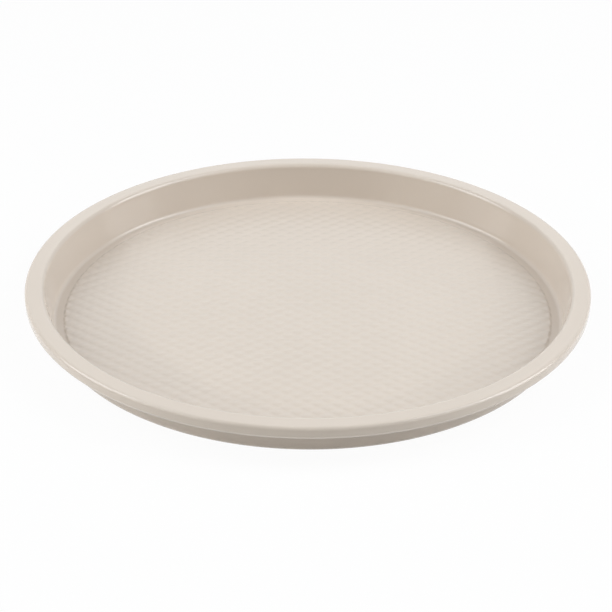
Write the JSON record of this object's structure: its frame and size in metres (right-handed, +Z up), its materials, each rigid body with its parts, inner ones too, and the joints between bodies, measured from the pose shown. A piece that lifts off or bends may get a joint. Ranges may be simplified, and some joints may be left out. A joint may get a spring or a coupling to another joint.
{
  "type": "pizza pan",
  "caption": "Round pizza pan pressed from coated steel sheet, with a raised diamond floor, a low flared wall, a flat flange and a rolled rim stiffened by a wire hoop.",
  "frame": {"origin": "middle of the underside of the floor, on the surface that the pan stands on", "axes": "+Z up through the open dish, along the axis of the round pan; X and Y in the plane it stands on, with the rows of raised diamonds running along X"},
  "size_m": [0.33, 0.33, 0.0235],
  "materials": {
    "coated_steel": "satin non-stick coating in a warm beige, fine grained",
    "bare_steel": "drawn steel wire, plain"
  },
  "bodies": {
    "root": {"pan_body": "coated_steel", "rim_wire": "bare_steel"}
  },
  "joints": []
}
